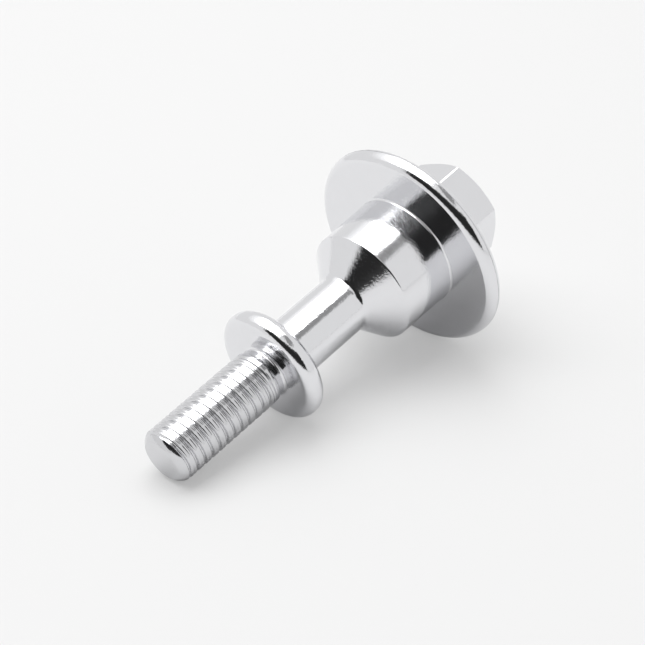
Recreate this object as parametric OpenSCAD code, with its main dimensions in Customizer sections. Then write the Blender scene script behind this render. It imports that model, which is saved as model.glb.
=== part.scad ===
// Cylinder head bolt, turned and forged from one bar.
// It stands on its hexagon head with the thread pointing up.
// The origin is at the centre of the head's top face, which is the lowest face here.

/* [Hexagon head] */
// Width across the flats of the hexagon
spanner_width = 10; // [9:0.1:10.5]
// Height from the head's top face to the flange's bearing face
head_height = 9.1; // [7:0.1:14]
// Diameter of the flat top inside the corner chamfer
head_top_diameter = 9.6; // [8:0.1:9.8]
// Angle of the corner chamfer, measured from the top face
head_chamfer_angle = 28; // [15:1:40]

/* [Flange] */
// Overall diameter of the flange
flange_diameter = 23; // [20:0.5:30]
// Width of the rounded rim outside the flat bearing face
flange_rim_width = 0.75; // [0.5:0.05:0.9]
// Radius of the rim on the bearing side
flange_front_radius = 1.2; // [1:0.05:1.4]
// Radius of the rim on the head side
flange_back_radius = 0.6; // [0.3:0.05:0.9]
// Slope of the flange's back towards the hexagon
flange_back_slope = 14; // [5:1:20]

/* [Shoulder] */
// Diameter of the shoulder that centres the bolt in its hole
shoulder_diameter = 12.6; // [11:0.1:16]
// Length of the straight part of the shoulder
shoulder_length = 2.8; // [1:0.1:6]
// Length of the slightly tapered lead past the straight part
lead_length = 3.75; // [1:0.05:6]
// Diameter at the end of the tapered lead
lead_diameter = 12.4; // [10:0.1:12.6]
// Radius where the shoulder meets the bearing face
shoulder_fillet = 0.45; // [0.1:0.05:1]
// Half angle of the cone between the lead and the neck
cone_half_angle = 47; // [35:1:60]

/* [Neck and collar] */
// Diameter of the plain neck
neck_diameter = 6.2; // [5.5:0.1:8]
// Radius where the neck runs into the cone
neck_fillet = 0.8; // [0.2:0.1:1.5]
// Length from the bearing face to the front face of the collar
grip_length = 21; // [18:0.5:40]
// Diameter of the stop collar
collar_diameter = 12.3; // [9:0.1:16]
// Thickness of the stop collar
collar_thickness = 2.25; // [2.25:0.05:4]
// Radius of the collar's rim, on both sides
collar_rim_radius = 1.1; // [0.3:0.05:1.1]
// Radius where the neck and the shank meet the collar
collar_fillet = 0.25; // [0.1:0.05:0.5]

/* [Threaded shank] */
// Outside diameter of the thread
thread_diameter = 5.9; // [5.7:0.05:6]
// Length from the collar's front face to the end of the shank
shank_length = 14.2; // [10:0.1:40]
// Diameter of the relief beside the collar
relief_diameter = 5.4; // [4.8:0.1:5.6]
// Length of the relief beside the collar
relief_length = 0.8; // [0.5:0.1:2]
// Diameter of the flat end face
tip_diameter = 4.9; // [4:0.1:5.3]
// Length of the chamfer at the end
tip_chamfer_length = 0.5; // [0.3:0.05:1]

/* [Hidden] */
round_steps = 96;
overlap = 0.5;
relief_run_angle = 30;

spanner_corner_r = spanner_width / 2 / cos(30);
head_top_r = head_top_diameter / 2;
head_chamfer_rise = (spanner_corner_r - head_top_r) * tan(head_chamfer_angle);

seat_z = head_height;
flange_r = flange_diameter / 2;
bearing_r = flange_r - flange_rim_width;
front_centre_r = flange_r - flange_front_radius;
back_centre_r = flange_r - flange_back_radius;
rim_depth = sqrt(pow(flange_front_radius, 2) - pow(bearing_r - front_centre_r, 2));
rim_z = seat_z - rim_depth;
back_edge_r = back_centre_r + flange_back_radius * sin(flange_back_slope);
back_edge_z = rim_z - flange_back_radius * cos(flange_back_slope);
back_root_z = back_edge_z - back_edge_r * tan(flange_back_slope);

shoulder_r = shoulder_diameter / 2;
shoulder_z = seat_z + shoulder_length;
lead_r = lead_diameter / 2;
lead_z = shoulder_z + lead_length;
neck_r = neck_diameter / 2;
neck_z = lead_z + (lead_r - neck_r) / tan(cone_half_angle);
neck_run = neck_fillet * tan(cone_half_angle / 2);

collar_r = collar_diameter / 2;
collar_front_z = seat_z + grip_length;
collar_back_z = collar_front_z - collar_thickness;

thread_r = thread_diameter / 2;
relief_r = relief_diameter / 2;
relief_z = collar_front_z + relief_length;
relief_run = (thread_r - relief_r) / tan(relief_run_angle);
tip_r = tip_diameter / 2;
tip_z = collar_front_z + shank_length;

// Fills the corner between a shaft of radius r and a face at height z.
// The face lies below the fillet where side is 1, and above it where side is -1.
module corner_fillet(r, z, radius, side) {
    translate([r, z])
        mirror([0, side < 0 ? 1 : 0])
            difference() {
                translate([-overlap, -overlap])
                    square(radius + overlap);
                translate([radius, radius])
                    circle(radius, $fn = round_steps);
                translate([radius, -2 * overlap])
                    square(radius + 2 * overlap);
            }
}

// Six-sided head, its outer end turned to a chamfer that trims the corners.
module hexagon_head() {
    intersection() {
        linear_extrude(height = rim_z)
            circle(spanner_corner_r, $fn = 6);
        rotate_extrude($fn = round_steps)
            polygon([
                [0, 0],
                [head_top_r, 0],
                [spanner_corner_r, head_chamfer_rise],
                [spanner_corner_r + overlap, head_chamfer_rise],
                [spanner_corner_r + overlap, rim_z],
                [0, rim_z]
            ]);
    }
}

// Flange: a flat bearing face, a rounded rim and a back that slopes up to the hexagon.
module flange_section() {
    polygon([
        [0, back_root_z],
        [back_edge_r, back_edge_z],
        [back_centre_r, rim_z],
        [front_centre_r, rim_z],
        [bearing_r, seat_z],
        [0, seat_z]
    ]);
    intersection() {
        translate([front_centre_r, rim_z])
            circle(flange_front_radius, $fn = round_steps);
        translate([front_centre_r - flange_front_radius, rim_z])
            square([2 * flange_front_radius, rim_depth]);
    }
    intersection() {
        translate([back_centre_r, rim_z])
            circle(flange_back_radius, $fn = round_steps);
        translate([back_centre_r - flange_back_radius, rim_z - flange_back_radius])
            square([2 * flange_back_radius, flange_back_radius]);
    }
}

// Shoulder, tapered lead and cone, as one outline down to the neck.
module shoulder_section() {
    polygon([
        [0, seat_z - overlap],
        [shoulder_r, seat_z - overlap],
        [shoulder_r, shoulder_z],
        [lead_r, lead_z],
        [neck_r, neck_z],
        [0, neck_z]
    ]);
    corner_fillet(shoulder_r, seat_z, shoulder_fillet, 1);
}

// Plain neck, with a concave run-in from the cone.
module neck_section() {
    translate([0, lead_z])
        square([neck_r, collar_front_z - lead_z]);
    difference() {
        polygon([
            [neck_r, neck_z],
            [neck_r, neck_z + neck_run],
            [neck_r + neck_run * sin(cone_half_angle), neck_z - neck_run * cos(cone_half_angle)]
        ]);
        translate([neck_r + neck_fillet, neck_z + neck_run])
            circle(neck_fillet, $fn = round_steps);
    }
}

// Stop collar: two flat faces and a rim rounded on both sides.
module collar_section() {
    translate([0, collar_back_z])
        square([collar_r - collar_rim_radius, collar_thickness]);
    translate([0, collar_back_z + collar_rim_radius])
        square([collar_r, collar_thickness - 2 * collar_rim_radius]);
    for (z = [collar_back_z + collar_rim_radius, collar_front_z - collar_rim_radius])
        translate([collar_r - collar_rim_radius, z])
            circle(collar_rim_radius, $fn = round_steps);
    corner_fillet(neck_r, collar_back_z, collar_fillet, -1);
    corner_fillet(relief_r, collar_front_z, collar_fillet, 1);
}

// Shank at the thread's outside diameter, relieved at the collar and chamfered at the end.
module shank_section() {
    polygon([
        [0, collar_back_z],
        [relief_r, collar_back_z],
        [relief_r, relief_z],
        [thread_r, relief_z + relief_run],
        [thread_r, tip_z - tip_chamfer_length],
        [tip_r, tip_z],
        [0, tip_z]
    ]);
}

module bolt() {
    color("silver") {
        hexagon_head();
        rotate_extrude($fn = round_steps) {
            flange_section();
            shoulder_section();
            neck_section();
            collar_section();
            shank_section();
        }
    }
}

bolt();
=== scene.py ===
# Chromed shoulder bolt with a flanged hexagon head, lying on a pale table.
# The bolt is modelled standing on its head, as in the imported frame, in metres.

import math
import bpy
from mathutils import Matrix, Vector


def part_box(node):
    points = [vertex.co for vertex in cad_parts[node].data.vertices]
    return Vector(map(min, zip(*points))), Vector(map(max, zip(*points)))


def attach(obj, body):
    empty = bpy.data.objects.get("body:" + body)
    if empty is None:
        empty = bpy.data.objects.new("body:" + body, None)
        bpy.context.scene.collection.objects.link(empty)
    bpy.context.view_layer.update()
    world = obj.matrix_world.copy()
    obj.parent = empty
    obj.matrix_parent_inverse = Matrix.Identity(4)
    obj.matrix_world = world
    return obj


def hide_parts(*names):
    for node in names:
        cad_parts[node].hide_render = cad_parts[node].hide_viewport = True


bl_info = {
    "name": "Cylinder head bolt",
    "version": (1, 0, 0),
    "blender": (4, 5, 0),
    "location": "View3D > Sidebar > Bolt",
    "description": "Models a chromed shoulder bolt and the pale table it lies on",
    "category": "Add Mesh",
}

import bmesh
import bpy
from bpy.props import FloatProperty, FloatVectorProperty, IntProperty, PointerProperty
from mathutils import Matrix, Vector

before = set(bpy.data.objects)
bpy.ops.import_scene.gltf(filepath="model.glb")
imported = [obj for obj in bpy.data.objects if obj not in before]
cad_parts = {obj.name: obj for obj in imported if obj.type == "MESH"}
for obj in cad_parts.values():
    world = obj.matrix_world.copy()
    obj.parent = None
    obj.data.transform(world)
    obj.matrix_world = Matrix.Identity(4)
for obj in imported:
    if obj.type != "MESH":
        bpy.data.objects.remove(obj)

LOWEST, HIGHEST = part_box("bolt")
MM = 0.001
TURN = 2 * math.pi
# Points closer together than this are one point.
TINY = 0.0001 * MM

# The table's upward direction and the camera, in the frame of the standing bolt.
TABLE_UP = Vector((0.639, -0.733, -0.234)).normalized()
CAMERA_RIGHT = Vector((-0.65572, -0.35955, -0.66390))
CAMERA_UP = Vector((0.75501, -0.31226, -0.57659))
CAMERA_BACK = Vector((0, -0.87933, 0.47621))
CAMERA_PLACE = Vector((-0.069, -149.094, 102.506)) * MM

# Upright cards bent round the bolt, each with its name, strength and edges. The grey one
# stands on the right, and the dark ones stand on the camera's side. The edges run from
# right to left: azimuth, lower elevation and upper elevation in degrees.
UPRIGHT_CARDS = (
    (
        "grey_card",
        0.33,
        ((162, 48, 62), (140, 50, 72), (114, 54, 77), (100, 55, 75), (90, 58, 74), (80, 63, 72)),
    ),
    (
        "dark_top",
        0.07,
        ((-113, 40, 46), (-130, 40, 49), (-143, 40, 49), (-160, 38, 47), (-222, 32, 38)),
    ),
    (
        "dark_middle",
        0.025,
        ((-113, 21, 40), (-130, 15, 40), (-143, 12, 40), (-160, 9, 38), (-222, 2, 32)),
    ),
    (
        "dark_foot",
        0.05,
        ((-118, 18, 19.5), (-130, 12, 15), (-143, 5, 12), (-160, 2, 9), (-222, -7, 2)),
    ),
)


def length(name, description, millimetres):
    return FloatProperty(
        name=name,
        description=description,
        default=millimetres * MM,
        min=0,
        precision=5,
        unit="LENGTH",
        subtype="DISTANCE",
    )


def angle(name, description, degrees):
    return FloatProperty(
        name=name,
        description=description,
        default=math.radians(degrees),
        unit="ROTATION",
        subtype="ANGLE",
    )


def share(name, description, value):
    return FloatProperty(name=name, description=description, default=value, min=0, max=1)


def tint(name, description, value):
    return FloatVectorProperty(
        name=name, description=description, default=value, subtype="COLOR", min=0, max=1
    )


def count(name, description, number):
    return IntProperty(name=name, description=description, default=number)


class HeadSizes(bpy.types.PropertyGroup):
    """Sizes of the forged hexagon head."""

    spanner_width: length("Spanner width", "Width across the flats", 10)
    top_diameter: length("Top face", "Diameter of the flat top face", 9.6)
    chamfer: angle("Corner chamfer", "Slope of the turned corner chamfer", 28)
    corner_radius: length("Corner radius", "Rounding of the six upright edges", 0.3)
    edge_radius: length("Edge radius", "Rounding of the edges round the top", 0.12)
    root_radius: length("Root radius", "Fillet between the flats and the flange", 0.45)
    skirt_width: length("Skirt width", "Strip past the flats that lies on the flange", 0.9)
    skirt_depth: length("Skirt depth", "How deep the strip's edge goes into the flange", 0.3)
    flat_steps: count("Steps a flat", "Mesh steps across a flat", 14)
    corner_steps: count("Steps a corner", "Mesh steps round an upright edge", 8)


class BodySizes(bpy.types.PropertyGroup):
    """Sizes of the turned flange, shoulder, neck and collar."""

    flange_diameter: length("Flange diameter", "Over the rim", (HIGHEST.x - LOWEST.x) / MM)
    bearing_height: length("Bearing height", "Head top to bearing face", 9.1)
    rim_width: length("Rim width", "Rounded rim outside the bearing face", 0.75)
    rim_front_radius: length("Rim radius, front", "On the bearing side", 1.2)
    rim_back_radius: length("Rim radius, back", "On the head side", 0.6)
    back_slope: angle("Back slope", "Slope of the flange's back", 14)
    shoulder_diameter: length("Shoulder diameter", "At the flange", 12.6)
    shoulder_length: length("Shoulder length", "Length of the straight part", 2.8)
    lead_length: length("Lead length", "Length of the tapered part", 3.75)
    lead_diameter: length("Lead diameter", "At the end of the tapered part", 12.4)
    shoulder_fillet: length("Shoulder fillet", "At the bearing face", 0.2)
    cone_angle: angle("Cone half angle", "Cone between the lead and the neck", 47)
    neck_diameter: length("Neck diameter", "Diameter of the plain neck", 6.2)
    neck_fillet: length("Neck fillet", "Between the cone and the neck", 0.8)
    grip_length: length("Grip length", "Bearing face to the collar's front", 21)
    collar_diameter: length("Collar diameter", "Diameter of the stop collar", 12.3)
    collar_thickness: length("Collar thickness", "Thickness of the collar", 2.25)
    collar_rim_radius: length("Collar rim", "Radius of the collar's rim", 1.06)
    collar_fillet: length("Collar fillet", "At the neck and at the shank", 0.25)
    edge_radius: length("Edge radius", "Broken edge of the cone", 0.25)
    steps: count("Steps", "Mesh steps round the axis", 256)


class ThreadSizes(bpy.types.PropertyGroup):
    """Sizes of the rolled thread."""

    diameter: length("Thread diameter", "Where flanks and crests would meet", 5.98)
    root_diameter: length("Root diameter", "Where the flanks would meet", 5.08)
    blank_diameter: length("Blank diameter", "Plain shank beside the collar", 5.4)
    pitch: length("Pitch", "Advance of the thread in one turn", 1.0)
    crest_width: length("Crest width", "Flat width of a crest", 0.54)
    crest_radius: length("Crest radius", "Rounding of the crests' two lips", 0.19)
    crest_dip: length("Crest dip", "Depth of the hollow between the lips", 0.095)
    dip_radius: length("Dip radius", "Rounding of the hollow", 0.33)
    root_radius: length("Root radius", "Rounding of the roots", 0.1)
    crest_height: length("Crest height", "Height of a crest on the -X side", 41.79)
    full_diameter: length("Full diameter", "Over the rounded crests", 5.79)
    step_height: length("Step height", "Where the blank steps up to the full diameter", 30.92)
    step_length: length("Step length", "Length of that step", 0.22)
    groove_start: length("Groove start", "Height where the grooves begin", 31.5)
    groove_run: length("Groove run", "Grooves deepen over this", 0.6)
    tip_diameter: length("Tip diameter", "Diameter of the flat end face", 4.4)
    tip_chamfer: length("Tip chamfer", "Length of the rounded chamfer at the end", 0.85)
    tip_roundness: FloatProperty(
        name="Tip roundness", description="Power by which the chamfer steepens", default=1.7
    )
    steps: count("Steps", "Mesh steps a turn", 128)


class ChromeLook(bpy.types.PropertyGroup):
    """Colour and gloss of the plating."""

    plating: tint("Plating", "Colour of the chrome in white light", (0.785, 0.787, 0.805))
    roughness: share("Roughness", "Haze of the plating", 0.04)
    ripple: share("Ripple", "Strength of the polishing ripple", 0.25)
    ripple_height: length("Ripple height", "Height that the ripple may reach", 0.02)


class StageLook(bpy.types.PropertyGroup):
    """The table, its light and the camera."""

    pale: tint("Backdrop", "Colour of the room round the table", (0.87, 0.87, 0.87))
    table_colour: tint("Table", "Colour of the table", (0.62, 0.62, 0.62))
    table_size: length("Table size", "Width of the table", 1200)
    table_drop: length("Table drop", "From the bolt's origin down to the table", 13.09)
    centre_height: length("Centre height", "Height on the bolt above the table's centre", 20)
    card_distance: length("Card distance", "From the centre to the upright cards", 800)
    shadow_lift: share("Shadow lift", "How far the camera sees the shadow paled", 0.39)
    mirror_lift: share("Mirrored lift", "How far the chrome shows the shadow paled", 0.06)
    lens: FloatProperty(name="Lens", description="Focal length in millimetres", default=94.88)


# Outlines and meshes


def draw_outline(shape, corners, steps=8, guard=0.03 * MM):
    """Draws a half section in the XZ plane as a chain of edges.

    A corner is (radius from the axis, height, rounding). Short guard edges beside
    each rounding keep the faces next to it truly flat in a reflection.
    """
    end = shape.verts.new((corners[0][0], 0, corners[0][1]))

    def line_to(point):
        nonlocal end
        if (end.co - point).length > TINY:
            end = bmesh.ops.extrude_vert_indiv(shape, verts=[end])["verts"][0]
            end.co = point

    for before, corner, after in zip(corners, corners[1:], corners[2:]):
        here = Vector((corner[0], 0, corner[1]))
        back = Vector((before[0], 0, before[1])) - here
        ahead = Vector((after[0], 0, after[1])) - here
        if corner[2] == 0:
            line_to(here)
            continue
        half = back.angle(ahead) / 2
        run = corner[2] / math.tan(half)
        start = here + back.normalized() * run
        middle = back.normalized() + ahead.normalized()
        centre = here + middle.normalized() * corner[2] / math.sin(half)
        if back.length > run + 2 * guard:
            line_to(start + back.normalized() * guard)
        line_to(start)
        axis = (start - centre).cross(here - start).normalized()
        made = bmesh.ops.spin(
            shape,
            geom=[end],
            cent=centre,
            axis=axis,
            angle=math.pi - 2 * half,
            steps=steps,
        )
        end = [part for part in made["geom_last"] if isinstance(part, bmesh.types.BMVert)][0]
        if ahead.length > run + 2 * guard:
            line_to(here + ahead.normalized() * (run + guard))
    line_to(Vector((corners[-1][0], 0, corners[-1][1])))


def ramp(height, start, run):
    """Rises from 0 to 1 over a run that begins at the start."""
    return min(max((height - start) / run, 0), 1)


def flange_back_foot(sizes):
    """Height at which the flange's sloping back would meet the axis."""
    lip = sizes.rim_front_radius - sizes.rim_width
    rim_height = sizes.bearing_height - math.sqrt(sizes.rim_front_radius**2 - lip**2)
    rim_centre = sizes.flange_diameter / 2 - sizes.rim_back_radius
    return (
        rim_height
        - sizes.rim_back_radius / math.cos(sizes.back_slope)
        - rim_centre * math.tan(sizes.back_slope)
    )


def finished_piece(name, shape, crease, material):
    """Makes a bmesh the named piece, which rides on the body and stands for the node."""
    bmesh.ops.recalc_face_normals(shape, faces=shape.faces[:])
    mesh = bpy.data.meshes.new(name)
    shape.to_mesh(mesh)
    shape.free()
    mesh.shade_smooth()
    mesh.set_sharp_from_angle(angle=math.radians(crease))
    piece = bpy.data.objects.new(name, mesh)
    bpy.context.scene.collection.objects.link(piece)
    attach(piece, "root")
    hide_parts("bolt")
    piece.data.materials.append(material)


# Materials


def new_node(tree, kind, place, **values):
    """Adds a node and sets the named values on the node or on its inputs."""
    node = tree.nodes.new(kind)
    node.location = place
    for key, value in values.items():
        if hasattr(node, key):
            setattr(node, key, value)
        else:
            node.inputs[key].default_value = value
    return node


def ripple_group():
    """Height and tone of plated metal: a soft polishing ripple and fine pits."""
    if "Plating ripple" in bpy.data.node_groups:
        return bpy.data.node_groups["Plating ripple"]
    tree = bpy.data.node_groups.new("Plating ripple", "ShaderNodeTree")
    for socket, usual in (("Coarse scale", 900.0), ("Fine scale", 4000.0), ("Fine share", 0.2)):
        made = tree.interface.new_socket(socket, in_out="INPUT", socket_type="NodeSocketFloat")
        made.default_value = usual
    tree.interface.new_socket("Height", in_out="OUTPUT", socket_type="NodeSocketFloat")
    tree.interface.new_socket("Tone", in_out="OUTPUT", socket_type="NodeSocketFloat")
    inside = new_node(tree, "NodeGroupInput", (-900, 0))
    outside = new_node(tree, "NodeGroupOutput", (700, 0))
    place = new_node(tree, "ShaderNodeTexCoord", (-900, 300))
    coarse = new_node(tree, "ShaderNodeTexNoise", (-500, 250), Detail=2.0, Roughness=0.5)
    fine = new_node(tree, "ShaderNodeTexNoise", (-500, -50), Detail=3.0, Roughness=0.6)
    mix = new_node(tree, "ShaderNodeMix", (0, 100), data_type="FLOAT")
    link = tree.links.new
    link(place.outputs["Object"], coarse.inputs["Vector"])
    link(place.outputs["Object"], fine.inputs["Vector"])
    link(inside.outputs["Coarse scale"], coarse.inputs["Scale"])
    link(inside.outputs["Fine scale"], fine.inputs["Scale"])
    link(inside.outputs["Fine share"], mix.inputs["Factor"])
    link(coarse.outputs["Fac"], mix.inputs["A"])
    link(fine.outputs["Fac"], mix.inputs["B"])
    link(mix.outputs["Result"], outside.inputs["Height"])
    link(coarse.outputs["Fac"], outside.inputs["Tone"])
    return tree


def chrome(name, look, coarse, fine, fine_share, ripple, haze, painted_shade_factor=1.0):
    """Bright chrome plate with its own ripple, worked out on Object coordinates.

    Ripple and haze are multiples of the plating's own ripple and roughness. A painted shade factor
    below one darkens the plating as painted shade.
    """
    material = bpy.data.materials.new(name)
    material.use_nodes = True
    tree = material.node_tree
    shader = tree.nodes["Principled BSDF"]
    shader.inputs["Metallic"].default_value = 1.0
    surface = new_node(tree, "ShaderNodeGroup", (-800, 0), node_tree=ripple_group())
    surface.inputs["Coarse scale"].default_value = coarse
    surface.inputs["Fine scale"].default_value = fine
    surface.inputs["Fine share"].default_value = fine_share
    # The colour dulls a little, and the haze varies, from ripple to ripple.
    dullest = 0.97
    clearest, haziest = 0.8, 1.3
    colour = new_node(tree, "ShaderNodeMix", (-400, 300), data_type="RGBA")
    # A painted shade factor below one darkens both colours of the plating, as painted shade.
    colour.inputs["A"].default_value = (*[dullest * painted_shade_factor * c for c in look.plating], 1)
    colour.inputs["B"].default_value = (*[painted_shade_factor * c for c in look.plating], 1)
    gloss = new_node(tree, "ShaderNodeMapRange", (-400, 0))
    gloss.inputs["To Min"].default_value = look.roughness * haze * clearest
    gloss.inputs["To Max"].default_value = look.roughness * haze * haziest
    bump = new_node(tree, "ShaderNodeBump", (-400, -300))
    bump.inputs["Strength"].default_value = look.ripple * ripple
    bump.inputs["Distance"].default_value = look.ripple_height
    link = tree.links.new
    link(surface.outputs["Tone"], colour.inputs["Factor"])
    link(surface.outputs["Tone"], gloss.inputs["Value"])
    link(surface.outputs["Height"], bump.inputs["Height"])
    link(colour.outputs["Result"], shader.inputs["Base Color"])
    link(gloss.outputs["Result"], shader.inputs["Roughness"])
    link(bump.outputs["Normal"], shader.inputs["Normal"])
    return material


# Operators


class OBJECT_OT_bolt_body(bpy.types.Operator):
    """Turn the flange, shoulder, cone, neck and stop collar as one piece"""

    bl_idname = "object.bolt_body"
    bl_label = "Turned body"

    def execute(self, context):
        sizes = context.scene.bolt_body
        thread = context.scene.bolt_thread
        seat = sizes.bearing_height
        rim = sizes.flange_diameter / 2
        bearing = rim - sizes.rim_width
        # The rim's arc meets the bearing face at a slant, so its tangent there tilts down.
        rim_tilt = math.asin(1 - sizes.rim_width / sizes.rim_front_radius)
        rim_front = seat - sizes.rim_width * math.tan(rim_tilt)
        back_foot = flange_back_foot(sizes)
        rim_back = back_foot + rim * math.tan(sizes.back_slope)
        shoulder = sizes.shoulder_diameter / 2
        shoulder_end = seat + sizes.shoulder_length
        lead = sizes.lead_diameter / 2
        lead_end = shoulder_end + sizes.lead_length
        neck = sizes.neck_diameter / 2
        cone_end = lead_end + (lead - neck) / math.tan(sizes.cone_angle)
        collar = sizes.collar_diameter / 2
        collar_front = seat + sizes.grip_length
        collar_back = collar_front - sizes.collar_thickness
        blank = thread.blank_diameter / 2
        # The body ends inside the threaded shank, just past the collar's fillet.
        body_end = collar_front + 1.1 * sizes.collar_fillet
        shape = bmesh.new()
        draw_outline(
            shape,
            [
                (0, back_foot, 0),
                (rim, rim_back, sizes.rim_back_radius),
                (rim, rim_front, sizes.rim_front_radius),
                (bearing, seat, 0),
                (shoulder, seat, sizes.shoulder_fillet),
                (lead, lead_end, sizes.edge_radius),
                (neck, cone_end, sizes.neck_fillet),
                (neck, collar_back, sizes.collar_fillet),
                (collar, collar_back, sizes.collar_rim_radius),
                (collar, collar_front, sizes.collar_rim_radius),
                (blank, collar_front, sizes.collar_fillet),
                (blank, body_end, 0),
                (0, body_end, 0),
            ],
        )
        bmesh.ops.spin(
            shape,
            geom=shape.verts[:] + shape.edges[:],
            cent=(0, 0, 0),
            axis=(0, 0, 1),
            angle=TURN,
            steps=sizes.steps,
            use_merge=True,
        )
        bmesh.ops.remove_doubles(shape, verts=shape.verts[:], dist=TINY)
        turned = chrome(
            "turned_chrome",
            context.scene.bolt_chrome,
            coarse=900,
            fine=5000,
            fine_share=0.5,
            ripple=4,
            haze=1,
        )
        finished_piece("bolt_body", shape, crease=14, material=turned)
        return {"FINISHED"}


class OBJECT_OT_bolt_head(bpy.types.Operator):
    """Forge the hexagon head with its corner chamfer and root fillet"""

    bl_idname = "object.bolt_head"
    bl_label = "Hexagon head"

    def execute(self, context):
        sizes = context.scene.bolt_head
        body = context.scene.bolt_body
        flat = sizes.spanner_width / 2
        round_r = sizes.corner_radius
        inner = flat - round_r
        sixth = math.radians(60)
        # Directions of one sixth's columns off the middle of its flat: first those on the
        # flat, then those round the upright edge that follows it.
        reach = inner * math.tan(sixth / 2)
        columns = []
        for index in range(sizes.flat_steps + 1):
            across = reach * (2 * index / sizes.flat_steps - 1)
            columns.append(math.atan2(across, flat))
        for index in range(1, sizes.corner_steps):
            lean = sixth * index / sizes.corner_steps
            across = reach + round_r * math.sin(lean)
            columns.append(math.atan2(across, inner + round_r * math.cos(lean)))

        def hexagon_r(off):
            """Distance of the outline from the axis, off the middle of a flat by this angle."""
            if abs(math.tan(off)) * flat <= reach + TINY:
                return flat / math.cos(off)
            turn = abs(sixth / 2 - abs(off))
            far = inner / math.cos(sixth / 2)
            across = far * math.sin(turn)
            return far * math.cos(turn) + math.sqrt(round_r**2 - across**2)

        slope = math.tan(sizes.chamfer)
        top = sizes.top_diameter / 2
        face_ring = top / 2
        back_foot = flange_back_foot(body)
        back_rise = math.tan(body.back_slope)

        def column(off):
            """Half section of the head, off the middle of a flat by this angle."""
            wide = hexagon_r(off)
            brim = (wide - top) * slope
            # Over the flats the chamfer is narrow, and its edge takes a smaller rounding.
            brim_radius = min(sizes.edge_radius, 0.4 * (wide - top))
            foot = back_foot + wide * back_rise
            skirt_foot = foot + sizes.skirt_width * back_rise
            shape = bmesh.new()
            draw_outline(
                shape,
                [
                    (face_ring, 0, 0),
                    (top, 0, sizes.edge_radius),
                    (wide, brim, brim_radius),
                    (wide, foot, sizes.root_radius),
                    (wide + sizes.skirt_width, skirt_foot, 0),
                    (wide + sizes.skirt_width, skirt_foot + sizes.skirt_depth, 0),
                ],
                steps=5,
                guard=0.02 * MM,
            )
            shape.verts.ensure_lookup_table()
            points = [(vert.co.x, vert.co.z) for vert in shape.verts]
            shape.free()
            return points

        # The circle's corners take the columns' directions, in order round the axis.
        shape = bmesh.new()
        around = 6 * len(columns)
        ring = bmesh.ops.create_circle(shape, segments=around, radius=face_ring)["verts"]
        ring.sort(key=lambda vert: math.atan2(vert.co.y, vert.co.x) % TURN)
        placed = sorted(
            ((sixth / 2 + sixth * side + off) % TURN, off) for side in range(6) for off in columns
        )
        directions = [direction for direction, off in placed]
        sections = [column(off) for direction, off in placed]
        height = max(len(section) for section in sections)
        for row in range(height):
            for vert, direction, section in zip(ring, directions, sections):
                r, z = section[min(row, len(section) - 1)]
                vert.co = (r * math.cos(direction), r * math.sin(direction), z)
            if row == 0:
                bmesh.ops.contextual_create(shape, geom=ring)
            if row < height - 1:
                ring = self.next_ring(shape, ring)
        bmesh.ops.contextual_create(shape, geom=ring)
        forged = chrome(
            "forged_chrome",
            context.scene.bolt_chrome,
            coarse=500,
            fine=3000,
            fine_share=0.3,
            ripple=2,
            haze=2,
        )
        finished_piece("bolt_head", shape, crease=14, material=forged)
        return {"FINISHED"}

    def next_ring(self, shape, ring):
        """Extrudes the open ring once and gives the new corners in the same order."""
        edges = []
        for vert, after in zip(ring, ring[1:] + ring[:1]):
            edges.append(shape.edges.get((vert, after)))
        made = bmesh.ops.extrude_edge_only(shape, edges=edges)["geom"]
        fresh = {part for part in made if isinstance(part, bmesh.types.BMVert)}
        following = []
        for vert in ring:
            following += [
                edge.other_vert(vert) for edge in vert.link_edges if edge.other_vert(vert) in fresh
            ]
        return following


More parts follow.
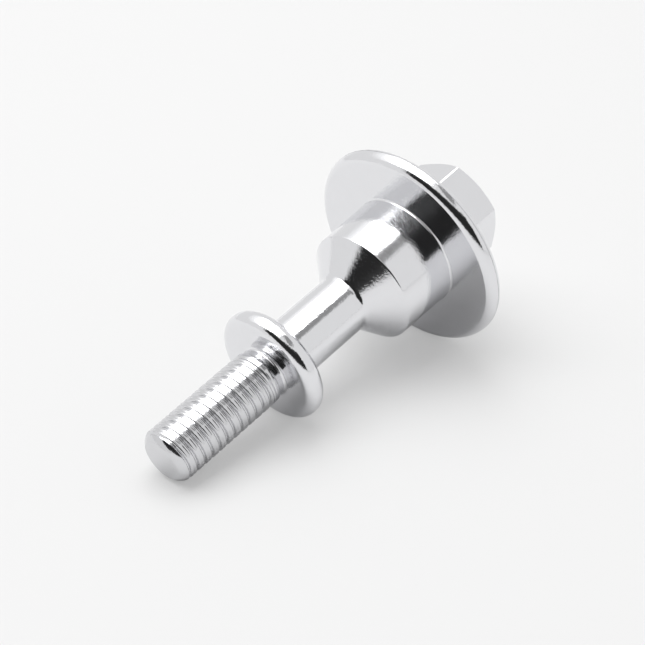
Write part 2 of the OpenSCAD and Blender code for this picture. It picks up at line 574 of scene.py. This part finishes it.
class OBJECT_OT_bolt_thread(bpy.types.Operator):
    """Roll the threaded shank as a true helix with a run-out and a chamfered end"""

    bl_idname = "object.bolt_thread"
    bl_label = "Threaded shank"

    def execute(self, context):
        sizes = context.scene.bolt_thread
        body = context.scene.bolt_body
        pitch = sizes.pitch
        crest = sizes.diameter / 2
        root = sizes.root_diameter / 2
        blank = sizes.blank_diameter / 2
        full = sizes.full_diameter / 2
        low = body.bearing_height + body.grip_length
        tip = HIGHEST.z
        # The groove profile starts on the -X side and climbs one pitch in a turn. Spare
        # crests past both ends of the shank are cut off later.
        spare = 2
        below = math.ceil((sizes.crest_height - low) / pitch) + spare
        above = math.ceil((tip - sizes.crest_height) / pitch) + spare
        corners = []
        for crest_index in range(-below, above + 1):
            height = sizes.crest_height + crest_index * pitch
            corners += [
                (crest, height - sizes.crest_width / 2, sizes.crest_radius),
                (crest - sizes.crest_dip, height, sizes.dip_radius),
                (crest, height + sizes.crest_width / 2, sizes.crest_radius),
                (root, height + pitch / 2, sizes.root_radius),
            ]
        shape = bmesh.new()
        draw_outline(shape, corners, steps=5, guard=0)
        bmesh.ops.rotate(
            shape, verts=shape.verts[:], cent=(0, 0, 0), matrix=Matrix.Rotation(math.pi, 3, "Z")
        )
        bmesh.ops.spin(
            shape,
            geom=shape.verts[:] + shape.edges[:],
            cent=(0, 0, 0),
            axis=(0, 0, 1),
            dvec=(0, 0, pitch / sizes.steps),
            angle=TURN,
            steps=sizes.steps,
        )
        # Each turn joins the one before it along the profile where it started.
        bmesh.ops.remove_doubles(shape, verts=shape.verts[:], dist=20 * TINY)
        chamfer_start = tip - sizes.tip_chamfer
        for height, keep_below in ((low, False), (tip, True)):
            bmesh.ops.bisect_plane(
                shape,
                geom=shape.verts[:] + shape.edges[:] + shape.faces[:],
                plane_co=(0, 0, height),
                plane_no=(0, 0, 1),
                clear_outer=keep_below,
                clear_inner=not keep_below,
            )
        bmesh.ops.bisect_plane(
            shape,
            geom=shape.verts[:] + shape.edges[:] + shape.faces[:],
            plane_co=(0, 0, chamfer_start),
            plane_no=(0, 0, 1),
        )
        tip_r = sizes.tip_diameter / 2
        for vert in shape.verts:
            r = math.hypot(vert.co.x, vert.co.y)
            stepped = ramp(vert.co.z, sizes.step_height, sizes.step_length)
            deepened = ramp(vert.co.z, sizes.groove_start, sizes.groove_run)
            wanted = blank + (full - blank) * stepped - (full - r) * deepened
            if vert.co.z > chamfer_start:
                narrowed = ramp(vert.co.z, chamfer_start, sizes.tip_chamfer)
                wanted = min(wanted, full + (tip_r - full) * narrowed**sizes.tip_roundness)
            vert.co.x *= wanted / r
            vert.co.y *= wanted / r
        ends = [edge for edge in shape.edges if edge.is_boundary]
        bmesh.ops.holes_fill(shape, edges=ends, sides=0)
        # The thread's plating is painted darker than the rest, as painted shade for its dimmer
        # crests and grooves.
        rolled = chrome(
            "rolled_chrome",
            context.scene.bolt_chrome,
            coarse=700,
            fine=3000,
            fine_share=0.3,
            ripple=4,
            haze=2,
            painted_shade_factor=0.86,
        )
        finished_piece("bolt_thread", shape, crease=30, material=rolled)
        return {"FINISHED"}


class OBJECT_OT_bolt_stage(bpy.types.Operator):
    """Lay the pale table under the bolt, and set the lamps and the camera"""

    bl_idname = "object.bolt_stage"
    bl_label = "Table, light and camera"

    def execute(self, context):
        look = context.scene.bolt_stage
        scene = context.scene
        scene.view_settings.view_transform = "Standard"
        # The bolt lies on the flange's rim and on the thread's end. The stage's own axes
        # point right, away from the camera and up, from the table's centre.
        right = (CAMERA_RIGHT - TABLE_UP * CAMERA_RIGHT.dot(TABLE_UP)).normalized()
        away = TABLE_UP.cross(right)
        self.axes = Matrix((right, away, TABLE_UP)).transposed()
        middle = Vector((0, 0, look.centre_height))
        self.centre = middle - TABLE_UP * (middle.dot(TABLE_UP) + look.table_drop)

        table = self.flat("table", look.table_size, look.table_size)
        table.data.transform(Matrix.Translation(self.centre) @ self.axes.to_4x4())
        table.data.materials.append(self.table_material(look))
        softbox = self.card(
            "softbox", azimuth=-60, elevation=64, distance=0.6, width=0.8, height=0.86, roll=15
        )
        self.glow(softbox, 4.0, fade=((0, look.pale[0]), (0.288, 1.3), (0.36, 4.0)))
        for name, strength, edges in UPRIGHT_CARDS:
            self.glow(self.bent_card(name, look.card_distance, edges), strength)
        self.light_world(look)
        self.place_camera(scene, look)
        return {"FINISHED"}

    def flat(self, name, width, depth):
        """A rectangle of the stage, lying in the XY plane, with a UV map."""
        shape = bmesh.new()
        shape.loops.layers.uv.new("UVMap")
        bmesh.ops.create_grid(shape, x_segments=1, y_segments=1, size=0.5, calc_uvs=True)
        bmesh.ops.scale(shape, verts=shape.verts[:], vec=(width, depth, 1))
        return self.stage_piece(name, shape)

    def stage_piece(self, name, shape):
        """Makes a bmesh the named piece of the stage."""
        mesh = bpy.data.meshes.new(name)
        shape.to_mesh(mesh)
        shape.free()
        piece = bpy.data.objects.new(name, mesh)
        bpy.context.scene.collection.objects.link(piece)
        return piece

    def bent_card(self, name, distance, edges):
        """An upright card bent round the bolt, between the edges given from right to left."""
        shape = bmesh.new()
        span = math.radians(edges[0][0] - edges[-1][0])
        foot = shape.verts.new((0, distance, 0))
        top = bmesh.ops.extrude_vert_indiv(shape, verts=[foot])["verts"][0]
        top.co.z = distance
        bmesh.ops.spin(
            shape,
            geom=shape.verts[:] + shape.edges[:],
            cent=(0, 0, 0),
            axis=(0, 0, 1),
            angle=span,
            steps=24,
        )
        # Between two edges both elevations change evenly with the azimuth.
        slack = 0.01
        for vert in shape.verts:
            azimuth = edges[0][0] - math.degrees(math.atan2(-vert.co.x, vert.co.y)) % 360
            side = 1 if vert.co.z < distance / 2 else 2
            for right, left in zip(edges, edges[1:]):
                if right[0] + slack >= azimuth >= left[0] - slack:
                    part = (right[0] - azimuth) / (right[0] - left[0])
                    elevation = right[side] + (left[side] - right[side]) * part
            vert.co.z = distance * math.tan(math.radians(elevation))
        card = self.stage_piece(name, shape)
        turn = Matrix.Rotation(math.radians(-edges[0][0]), 4, "Z")
        card.data.transform(Matrix.Translation(self.centre) @ self.axes.to_4x4() @ turn)
        return card

    def card(self, name, azimuth, elevation, distance, width, height, roll):
        """A flat card that faces the bolt, at an azimuth right of the view and an elevation."""
        card = self.flat(name, width, height)
        azimuth = math.radians(azimuth)
        elevation = math.radians(elevation)
        out = self.axes @ Vector(
            (
                math.sin(azimuth) * math.cos(elevation),
                math.cos(azimuth) * math.cos(elevation),
                math.sin(elevation),
            )
        )
        side = self.axes @ Vector((math.cos(azimuth), -math.sin(azimuth), 0))
        rise = side.cross(out)
        facing = Matrix((side, rise, -out)).transposed().to_4x4()
        turn = Matrix.Rotation(math.radians(roll), 4, "Z")
        card.data.transform(Matrix.Translation(self.centre + out * distance) @ facing @ turn)
        return card

    def glow(self, card, strength, fade=()):
        """Lets a card glow and hides it from the camera.

        A fade gives strengths at shares of the card's height, from its lower edge up.
        """
        material = bpy.data.materials.new(card.name)
        material.use_nodes = True
        tree = material.node_tree
        tree.nodes.clear()
        light = new_node(tree, "ShaderNodeEmission", (0, 0))
        light.inputs["Strength"].default_value = strength
        end = new_node(tree, "ShaderNodeOutputMaterial", (300, 0))
        link = tree.links.new
        link(light.outputs["Emission"], end.inputs["Surface"])
        if fade:
            place = new_node(tree, "ShaderNodeTexCoord", (-900, 0))
            apart = new_node(tree, "ShaderNodeSeparateXYZ", (-700, 0))
            level = new_node(tree, "ShaderNodeValToRGB", (-400, 0))
            stops = level.color_ramp.elements
            for _ in fade[2:]:
                stops.new(0.5)
            for stop, (height, faded) in zip(stops, fade):
                stop.position = height
                stop.color = (*[faded / strength] * 3, 1)
            link(place.outputs["UV"], apart.inputs["Vector"])
            link(apart.outputs["Y"], level.inputs["Fac"])
            link(level.outputs["Color"], light.inputs["Color"])
        card.data.materials.append(material)
        card.visible_camera = False

    def table_material(self, look):
        """A matt surface that is clear from below."""
        material = bpy.data.materials.new("pale_table")
        material.use_nodes = True
        tree = material.node_tree
        shader = tree.nodes["Principled BSDF"]
        shader.inputs["Base Color"].default_value = (*look.table_colour, 1)
        shader.inputs["Roughness"].default_value = 1.0
        shader.inputs["Specular IOR Level"].default_value = 0.0
        # The table's shadow is paled for the camera, and a little in what the chrome mirrors.
        pale = new_node(tree, "ShaderNodeEmission", (0, -100))
        pale.inputs["Color"].default_value = (*look.pale, 1)
        path = new_node(tree, "ShaderNodeLightPath", (-900, 500))
        mirrored = new_node(tree, "ShaderNodeMath", (-600, 400), operation="MAXIMUM")
        weaker = new_node(tree, "ShaderNodeMath", (-300, 400), operation="MULTIPLY")
        weaker.inputs[1].default_value = look.mirror_lift
        part = new_node(tree, "ShaderNodeMath", (0, 400), operation="MULTIPLY_ADD")
        part.inputs[1].default_value = look.shadow_lift
        paled = new_node(tree, "ShaderNodeMixShader", (250, 0))
        clear = new_node(tree, "ShaderNodeBsdfTransparent", (250, -200))
        side = new_node(tree, "ShaderNodeNewGeometry", (250, 300))
        mix = new_node(tree, "ShaderNodeMixShader", (500, 0))
        link = tree.links.new
        link(path.outputs["Is Glossy Ray"], mirrored.inputs[0])
        link(path.outputs["Is Transmission Ray"], mirrored.inputs[1])
        link(mirrored.outputs["Value"], weaker.inputs[0])
        link(path.outputs["Is Camera Ray"], part.inputs[0])
        link(weaker.outputs["Value"], part.inputs[2])
        link(part.outputs["Value"], paled.inputs["Fac"])
        link(shader.outputs["BSDF"], paled.inputs[1])
        link(pale.outputs["Emission"], paled.inputs[2])
        link(side.outputs["Backfacing"], mix.inputs["Fac"])
        link(paled.outputs["Shader"], mix.inputs[1])
        link(clear.outputs["BSDF"], mix.inputs[2])
        link(mix.outputs["Shader"], tree.nodes["Material Output"].inputs["Surface"])
        return material

    def light_world(self, look):
        world = bpy.data.worlds.new("studio")
        bpy.context.scene.world = world
        world.use_nodes = True
        world.node_tree.nodes["Background"].inputs["Color"].default_value = (*look.pale, 1)

    def place_camera(self, scene, look):
        data = bpy.data.cameras.new("camera")
        camera = bpy.data.objects.new("camera", data)
        scene.collection.objects.link(camera)
        data.lens = look.lens
        data.sensor_width = 36
        data.clip_start = 10 * MM
        data.clip_end = 10
        turn = Matrix((CAMERA_RIGHT, CAMERA_UP, CAMERA_BACK)).transposed().to_4x4()
        camera.matrix_world = Matrix.Translation(CAMERA_PLACE) @ turn
        scene.camera = camera


class VIEW3D_PT_bolt(bpy.types.Panel):
    """Lists the bolt's pieces, with the sizes they are made from"""

    bl_idname = "VIEW3D_PT_bolt"
    bl_label = "Cylinder head bolt"
    bl_space_type = "VIEW_3D"
    bl_region_type = "UI"
    bl_category = "Bolt"

    def draw(self, context):
        layout = self.layout
        for operator, *groups in PIECES:
            layout.operator(operator.bl_idname)
            for group in groups:
                for key in getattr(context.scene, group).bl_rna.properties.keys():
                    if key not in ("rna_type", "name"):
                        layout.prop(getattr(context.scene, group), key)


PIECES = (
    (OBJECT_OT_bolt_body, "bolt_body", "bolt_chrome"),
    (OBJECT_OT_bolt_head, "bolt_head"),
    (OBJECT_OT_bolt_thread, "bolt_thread"),
    (OBJECT_OT_bolt_stage, "bolt_stage"),
)
SETTINGS = (
    (HeadSizes, "bolt_head"),
    (BodySizes, "bolt_body"),
    (ThreadSizes, "bolt_thread"),
    (ChromeLook, "bolt_chrome"),
    (StageLook, "bolt_stage"),
)


def register():
    for group, place in SETTINGS:
        bpy.utils.register_class(group)
        setattr(bpy.types.Scene, place, PointerProperty(type=group))
    for operator, *_ in PIECES:
        bpy.utils.register_class(operator)
    bpy.utils.register_class(VIEW3D_PT_bolt)


def unregister():
    bpy.utils.unregister_class(VIEW3D_PT_bolt)
    for operator, *_ in reversed(PIECES):
        bpy.utils.unregister_class(operator)
    for group, place in reversed(SETTINGS):
        delattr(bpy.types.Scene, place)
        bpy.utils.unregister_class(group)


def main():
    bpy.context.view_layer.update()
    register()
    for operator in (
        bpy.ops.object.bolt_body,
        bpy.ops.object.bolt_head,
        bpy.ops.object.bolt_thread,
        bpy.ops.object.bolt_stage,
    ):
        operator()


if __name__ == "__main__":
    main()
